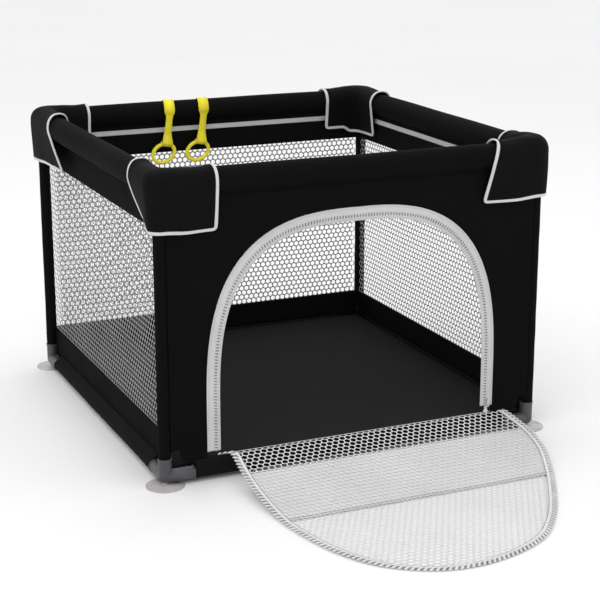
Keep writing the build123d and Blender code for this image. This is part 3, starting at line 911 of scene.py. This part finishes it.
def crownAt(t):
    c, s, share = np.cos(t), np.sin(t), 2 / doorSizes["power"]
    return doorSizes["wide"] * np.sign(c) * np.abs(c) ** share, doorSizes["tall"] * np.abs(s) ** share


def doorLine(rightFoot, leftFoot):
    # the doorway's outline from its right foot over the crown to its left foot
    x, z = crownAt(np.linspace(0, math.pi, 484))
    wide = doorSizes["wide"]
    crown = np.stack([x, z + doorSizes["legs"]], 1)
    return np.vstack([[(wide, rightFoot)], crown, [(-wide, leftFoot)]]) + (doorSizes["aside"], 0)


def makePanel():
    centre, aside = doorSizes["legs"], doorSizes["aside"]
    width, top = doorSizes["panelHalf"], doorSizes["panelTop"]
    # rows run from the doorway out to the panel's edge: up one leg, round the crown, down the other
    share = np.linspace(0, 1, 26) ** 1.15
    share[-8:] = np.linspace(share[-8], 1, 8)
    legs = []
    for side in (1, -1):
        edge = side * doorSizes["wide"] + aside
        x = edge + (side * width - edge) * share
        foot = np.interp(abs(x), *zip(*footCut))
        legs.append([np.stack([x, centre - w * (centre - foot)], 1)
                     for w in np.linspace(1, 0, 16, endpoint=False)][::side])
    crown = []
    for t in np.linspace(0, math.pi, 150):
        x, z = crownAt(t - 0.10 * math.sin(2 * t) if 0 < t < math.pi else t)
        a = math.atan2(z, x)
        far = min(width / max(abs(math.cos(a)), 1e-9), (top - centre) / max(math.sin(a), 1e-9))
        outer = np.array([far * math.cos(a), far * math.sin(a)])
        near = np.array([x + aside, z])
        crown.append(near * (1 - share[:, None]) + outer * share[:, None] + (0, centre))
    grid = np.array(legs[0] + crown + legs[1])
    x, z = grid[..., 0], grid[..., 1]
    flat = spots(x.ravel(), z.ravel(), 0)
    slack = wobble(flat, 5.0, 21) * 0.0012 + wobble(flat * (1.6, 0.7, 1), 13.0, 4) * 0.0007
    y = panelY + slack.reshape(x.shape) * np.minimum(1, share * 5)
    y = y - 0.0022 * ease((abs(x) - 0.420) / 0.02)       # comes forward over the posts
    panel = newPiece("front_cloth", spots(x, y, z), gridFaces(*x.shape), "panel")
    thicken(panel, 0.0020, 1.0 if panel.data.polygons[0].normal.y > 0 else -1.0)
    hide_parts("front_panel")


# the tape, its raised rim, its coil and one tooth's width, length and thickness
zipSizes = {"tape": 0.0305, "rim": 0.0022, "coilAt": 0.0195, "pitch": 0.0068,
            "tooth": (0.0026, 0.0076, 0.0018)}


def makeZip():
    wide, coil = zipSizes["tape"], zipSizes["coilAt"]
    line = doorLine(doorSizes["footRight"], doorSizes["footLeft"])
    path = resample(spots(line[:, 0], panelY - 0.0010, line[:, 1]), 0.004)[0]
    out = np.tile((0, -1.0, 0), (len(path), 1))
    across = unit(np.cross(unit(smoothAlong(tangents(path), 3, closed=False)), out))
    towards = np.array([0, panelY, doorSizes["legs"] + 0.1]) - path
    across = across * np.sign((across * towards).sum(1, keepdims=True))
    section = [(0, -0.0004), (0, 0.0020), (0.0010, 0.0027), (zipSizes["rim"], 0.0027), (0.0032, 0.0017),
               (0.0060, 0.0015), (coil - 0.0045, 0.0014), (coil - 0.0030, 0.0019), (coil, 0.0021),
               (coil + 0.0030, 0.0019), (coil + 0.0045, 0.0014), (wide - 0.0016, 0.0014), (wide, 0.0010),
               (wide, -0.0004)]
    points, faces = strip(path, across, out, section)
    tape = newPiece("door_tape", points, faces, "tape")
    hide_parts("door_zip_tape")

    coilTeeth = Bundle()
    broad, long, tall = zipSizes["tooth"]
    line, inward = resample(path + across * coil, zipSizes["pitch"], across)
    for p, t, a in zip(line, tangents(line), inward):
        lean = unit(a + t * 0.18)
        size = (long * random.uniform(0.88, 1.08), broad, tall)
        coilTeeth.add(*bead(p, lean, unit(np.cross(out[0], lean)), out[0], size, 0.0023))
    teeth = coilTeeth.piece("door_teeth", "teeth", slot="zip_tape")
    seams = Bundle()
    for offset in (0.0048, wide - 0.0035):
        stitchRow(seams, path, across, out, offset, (0.0028, 0.0007, 0.0006), 0.0044, 0.0017)
    seams.piece("door_stitches", "ribbon", slot="zip_tape")

    # the pin and its box, hanging below the right leg of the tape
    pin = Bundle()
    pinX = doorSizes["wide"] - wide / 2 + doorSizes["aside"]
    low, high = sill + 0.004, doorSizes["footRight"]
    side, up = np.array([1.0, 0, 0]), np.array([0, 0, 1.0])
    for z0, z1, broad in ((low, high + 0.006, 0.0085), (low - 0.001, low + 0.008, 0.0125)):
        spot = np.array([pinX, panelY - 0.0016, (z0 + z1) / 2])
        pin.add(*bead(spot, up, side, out[0], (z1 - z0, broad, 0.0030)))
    pin.piece("door_pin", "whiteTeeth", slot="zip_tape")


makePanel()
makeZip()
print("front panel and doorway")


matSizes = {"half": 0.4372, "front": 0.4430, "thick": 0.0070, "border": 0.012}


def makeMat():
    count, wide, front = 110, matSizes["half"], matSizes["front"]
    x, y = np.meshgrid(np.linspace(-wide, wide, count), np.linspace(-front, wide, count), indexing="ij")
    flat = spots(x.ravel(), y.ravel(), 0)
    edge = np.minimum(wide - abs(x), np.minimum(wide - y, y + front))
    lie = (wobble(flat, 3.2, 31) * 0.0016 + wobble(flat, 9.0, 2) * 0.0007).reshape(x.shape)
    z = matTop - 0.0008 + lie * ease(edge / 0.05) - 0.0030 * (1 - ease(edge / 0.010))
    z = z - 0.0012 * np.exp(-((edge - matSizes["border"]) / 0.0022) ** 2)     # sewn border
    mat = newPiece("mat", spots(x, y, z), gridFaces(count, count), "mat")
    thicken(mat, matSizes["thick"], -1.0 if mat.data.polygons[0].normal.z > 0 else 1.0)
    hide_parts("floor_mat")


makeMat()
print("floor mat")


# gap is the size of the dark beads of painted shade between the gate's teeth
gateSizes = {"binding": 0.0135, "linedFrom": -0.541, "linedTo": -0.7335, "blendFrom": -0.455,
             "blendTo": -0.560, "toothPitch": 0.0120, "toothLean": (0.82, 0.57), "tooth": (0.0060, 0.0034),
             "gap": (0.0042, 0.0022), "seamGap": 0.0045}
# how the cloth leaves the sill, runs down to the floor and lies there, in y and z
gateFall = [(-0.4445, 0.0490), (-0.4520, 0.0535), (-0.4600, 0.0552), (-0.4680, 0.0542), (-0.4800, 0.0512),
            (-0.5200, 0.0410), (-0.5800, 0.0295), (-0.6500, 0.0170), (-0.7050, 0.0075), (-0.7335, 0.0036),
            (-0.7600, 0.0026), (-0.8000, 0.0024)]
# the cut's outline seen from above, from the left of the sill round the tip to the right of it
gatePlan = [(-0.326, -0.452), (-0.312, -0.453), (-0.302, -0.462), (-0.301, -0.480), (-0.304, -0.530),
            (-0.306, -0.600), (-0.303, -0.675), (-0.292, -0.780), (-0.262, -0.900), (-0.206, -0.995),
            (-0.118, -1.054), (-0.030, -1.068), (0.064, -1.050), (0.147, -1.010), (0.205, -0.952),
            (0.258, -0.880), (0.326, -0.766), (0.352, -0.715), (0.379, -0.651), (0.392, -0.598),
            (0.396, -0.545), (0.390, -0.500), (0.381, -0.466), (0.372, -0.449)]
fallLine = smoothLine([(0, y, z) for y, z in gateFall], 0.0015)[:, 1:]
fallAlong = alongLine(fallLine)


def clothAlong(y):
    # from a place seen from above to the distance along the cloth
    y = np.asarray(y, float)
    return np.interp(-y, -fallLine[:, 0], fallAlong) + np.maximum(fallLine[-1, 0] - y, 0)


def gateEdge():
    plan = smoothLine([(x, y, 0) for x, y in gatePlan], 0.003)
    return np.stack([plan[:, 0], clothAlong(plan[:, 1])], 1)


def ripples(x, s):
    # the cloth lies a little unevenly
    flat = spots(x, s, 0)
    away, down = ease((s - 0.03) / 0.10), ease((s - clothAlong(-0.70)) / 0.06)
    broad = wobble(flat, 3.6, 17) * 0.0030 + wobble(flat * (1, 0.5, 1), 9.0, 40) * 0.0012
    return away * ((1 - down) * broad * 0.8 + down * np.maximum(broad, -0.0009))


def onGate(flat):
    # points of the cut cloth, and heights above it, as it hangs and lies
    x, s, lift = flat.T
    (y, z), (y2, z2), (y1, z1) = ([np.interp(s + step, fallAlong, line) for line in fallLine.T]
                                  for step in (0, 0.002, -0.002))
    along = unit(np.stack([y2 - y1 - 1e-5, z2 - z1], 1))
    laid = spots(x, y - np.maximum(s - fallAlong[-1], 0), z + ripples(x, s))
    return laid + spots(0, along[:, 1], -along[:, 0]) * lift[:, None]


def insideOutline(outline):
    xs, ss = outline.T

    def inside(x, s):
        crossing = (ss[:-1] > s) != (ss[1:] > s)
        at = xs[:-1] + (s - ss[:-1]) * np.diff(xs) / np.where(ss[1:] == ss[:-1], 1e-9, np.diff(ss))
        return bool((crossing & (x < at)).sum() % 2)
    return inside


def layOnGate(bundle, start, end, size):
    # a stitch or tooth between two points of the flat cut, each with its height
    placed = onGate(np.array([start, end]))
    foot, head = onGate(np.array([[*start[:2], 0.0], [*start[:2], 0.01]]))
    up, run = unit(head - foot), placed[1] - placed[0]
    length = float(np.linalg.norm(run)) + size[0]
    bundle.add(*bead(placed.mean(0), unit(run), unit(np.cross(up, unit(run))), up, (length, *size)))


def gateSewing(path, across, inside, lined):
    # the half zip's teeth along the edge, dark beads of painted shade in the gaps between them, and every
    # row of stitches
    teeth, gapShade, seam = Bundle(), Bundle(), Bundle()
    line, inward = resample(path, gateSizes["toothPitch"], across)
    acrossShare, alongShare = gateSizes["toothLean"]
    for p, t, a in zip(line, tangents(line), unit(inward)):
        lean = a * acrossShare + t * alongShare
        layOnGate(teeth, (*(p - lean * 0.0026), 0.0012), (*(p + lean * 0.0058), 0.0024), gateSizes["tooth"])
        # a dark bead in each gap between teeth is painted shade, where the teeth would shadow the tape
        gap = p + t * gateSizes["toothPitch"] / 2
        layOnGate(gapShade, (*(gap - lean * 0.0006), 0.0012), (*(gap + lean * 0.0062), 0.0018), gateSizes["gap"])

    # two rows where the lining ends, and one inside the binding
    for s in (lined - gateSizes["seamGap"], lined + gateSizes["seamGap"]):
        for x in np.arange(-0.34, 0.42, 0.0100):
            if inside(x - 0.004, s) and inside(x + 0.004, s):
                layOnGate(seam, (x - 0.0030, s, 0.0014), (x + 0.0030, s, 0.0014), (0.0015, 0.0011))
    line = resample(path + across * (gateSizes["binding"] + 0.0006), 0.0048)[0]
    for p, t in zip(line, tangents(line)):
        layOnGate(seam, (*(p - t * 0.0016), 0.0010), (*(p + t * 0.0016), 0.0010), (0.0010, 0.0009))
    # the dark gap beads are painted shade between the white teeth, not part of the zip
    return [teeth.piece("gate_teeth", "whiteTeeth", slot="gate_binding", ride=False),
            gapShade.piece("gate_gap_shade", "teeth", slot="gate_binding", ride=False),
            seam.piece("gate_stitches", "seam", slot="gate_binding", ride=False)]


def makeGate():
    band = gateSizes["binding"]
    edge = gateEdge()
    wide, far = float(np.ptp(edge[:, 0])), float(edge[:, 1].max())
    path = resample(edge, 0.004)[0]
    along = tangents(path)
    across = np.stack([along[:, 1], -along[:, 0]], 1)
    across = across * np.sign((across * ((0.03, 0.30) - path)).sum(1).mean())
    tucked = np.vstack([path + across * band * 0.6, [(0.372, -0.0010), (-0.326, -0.0010)]])
    inside = insideOutline(np.vstack([tucked, tucked[:1]]))
    flat, faces = hexNet(inside, (-0.36, 0.42, 0.004, far), gateNetSizes)
    faces = closeNetEdge(flat, faces)
    net = newPiece("gate_net", onGate(flat), faces, "gateNet", ride=False)

    # binding round the cut edge
    section = [(0, -0.0009), (0, 0.0009), (0.0010, 0.0014), (0.0050, 0.0014), (0.0060, 0.0010),
               (band - 0.0034, 0.0010), (band - 0.0024, 0.0014), (band - 0.0008, 0.0014), (band, 0.0007),
               (band, -0.0008), (band / 2, -0.0009)]
    rows = np.array([(*(p + a * out), h) for p, a in zip(path, across) for out, h in section])
    faces = gridFaces(len(path), len(section), closedColumns=True, capped=True)
    binding = newPiece("gate_edge", onGate(rows), faces, "binding", ride=False)
    lined = float(clothAlong(gateSizes["linedTo"]))
    sewing = gateSewing(path, across, inside, lined)

    # sheer lining under the stretch nearest the pen
    levels = np.linspace(float(clothAlong(gateSizes["linedFrom"])), lined, 40)
    hemmed = path + across * band * 0.7
    turn = int(np.argmax(hemmed[:, 1]))
    leftX = np.interp(levels, hemmed[:turn, 1], hemmed[:turn, 0])
    rightX = np.interp(levels, hemmed[turn:, 1][::-1], hemmed[turn:, 0][::-1])
    grid = spots(np.linspace(leftX, rightX, 90).T, levels[:, None], -0.0010).reshape(-1, 3)
    lining = newPiece("gate_sheer", onGate(grid), gridFaces(40, 90), "lining",
                      ride=False)
    thicken(lining, 0.0004)

    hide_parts("gate_mesh", "gate_apron")
    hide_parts("gate_binding")
    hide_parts("gate_lining")
    for piece in (net, binding, *sewing, lining):
        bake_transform(piece)


makeGate()
print("gate")


strapSizes = {"thick": 0.0017, "over": 0.028, "wrap": 0.0066, "shift": 0.006, "railReach": 0.0312}
# strap width by the distance below its tack
strapShape = [(-0.014, 0.028), (-0.006, 0.0255), (0.001, 0.0180), (0.020, 0.0175), (0.045, 0.0200),
              (0.062, 0.0262), (0.070, 0.0290)]
ringSizes = {"halfX": 0.0305, "halfZ": 0.0238, "thick": 0.0049, "lean": 7.5, "tilt": 27}


def makeStrap(number, hinge, bar, down, side):
    # from the rail's outer side over the top, tacked, down in front of the ring and round it
    front = np.array([0, -1.0, 0])
    strapX, skew = middle(f"ring_strap_{number}").x, strapSizes["shift"]
    r, wrap, drop = strapSizes["railReach"], strapSizes["wrap"], float((bar - hinge) @ down)
    line = [(strapX + skew * (0.4 + math.cos(a)), half + r * math.cos(a), railZ + r * math.sin(a))
            for a in np.linspace(-0.02, math.pi + 0.1, 24)]
    line += [hinge + down * 0.006, hinge + down * drop * 0.35, hinge + down * drop * 0.65]
    line += [hinge + down * (drop - 0.012) + front * 0.0035]
    line += [bar + front * wrap * math.cos(a) + down * wrap * math.sin(a) for a in np.linspace(0, 4.0, 14)]
    path = smoothLine(line, 0.0022)
    z = path[:, 2]
    inner = np.arange(len(path)) > int(np.argmax(z))
    hang = (ease((railZ - 0.004 - z) / 0.016) * inner)[:, None]
    across = unit(np.array([1.0, 0, 0]) * (1 - hang) + side * hang)
    out = unit(np.cross(across, tangents(path)))
    shape = np.interp(hinge[2] - z, *zip(*strapShape))
    wide = np.where(inner & (path[:, 1] < half), shape, strapSizes["over"])
    points, faces = strip(path, across, out, roundedSlab(1.0, strapSizes["thick"], -0.5), wide=wide)
    strap = newPiece(f"strap_{number}", points, faces, "webbing", ride=False)

    marks = Bundle()
    for v in (1, -1):
        direction = unit(side * 0.85 + down * 0.5 * v)
        marks.add(*bead(hinge + down * 0.002 + front * 0.0019, direction, unit(np.cross(front, direction)),
                        front, (0.012, 0.0010, 0.0008)))
    mark = marks.piece(f"strap_stitches_{number}", "webbing", slot="yellow_webbing", ride=False)
    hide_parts(f"ring_strap_{number}", f"ring_tail_{number}")
    for piece in (strap, mark):
        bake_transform(piece)


def makeRing(number, bar, down, side):
    # a tilted oval of round section, with a fine parting line, hung by its highest point
    a, b, tilt = ringSizes["halfX"], ringSizes["halfZ"], math.radians(ringSizes["tilt"])
    highest = math.hypot(a * math.sin(tilt), b * math.cos(tilt))
    aside = (a * a - b * b) * math.sin(tilt) * math.cos(tilt) / highest
    centre = bar + down * highest - side * aside
    long = side * math.cos(tilt) - down * math.sin(tilt)
    short = -side * math.sin(tilt) - down * math.cos(tilt)
    path = np.array([centre + long * a * math.cos(t) + short * b * math.sin(t) for t in roundTurn(96)])
    back = np.tile((0, 1.0, 0), (96, 1))
    out = unit(np.cross(tangents(path, True), back))
    thick = ringSizes["thick"]
    section = [(thick * math.cos(t) * (1.03 if k % 12 == 6 else 1), thick * math.sin(t))
               for k, t in enumerate(roundTurn(24))]
    points, faces = strip(path, back, out, section, closed=True)
    ring = newPiece(f"pull_ring_{number}", points, faces, "ring", f"ring_{number}")
    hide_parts(f"ring_{number}")


# a ring leans a little to the side as it hangs
places = {joint["name"]: joint.get("pos_m") for joint in frame["joints"]}
lean = math.radians(ringSizes["lean"])
ringDown = np.array([-math.sin(lean), 0, -math.cos(lean)])
ringSide = np.array([math.cos(lean), 0, -math.sin(lean)])
for number in (1, 2):
    hinge, bar = (np.array(places[f"{joint}_swing_{number}"]) - (0, penY, 0) for joint in ("strap", "ring"))
    makeStrap(number, hinge, bar, ringDown, ringSide)
    makeRing(number, bar, ringDown, ringSide)
print("pull rings")
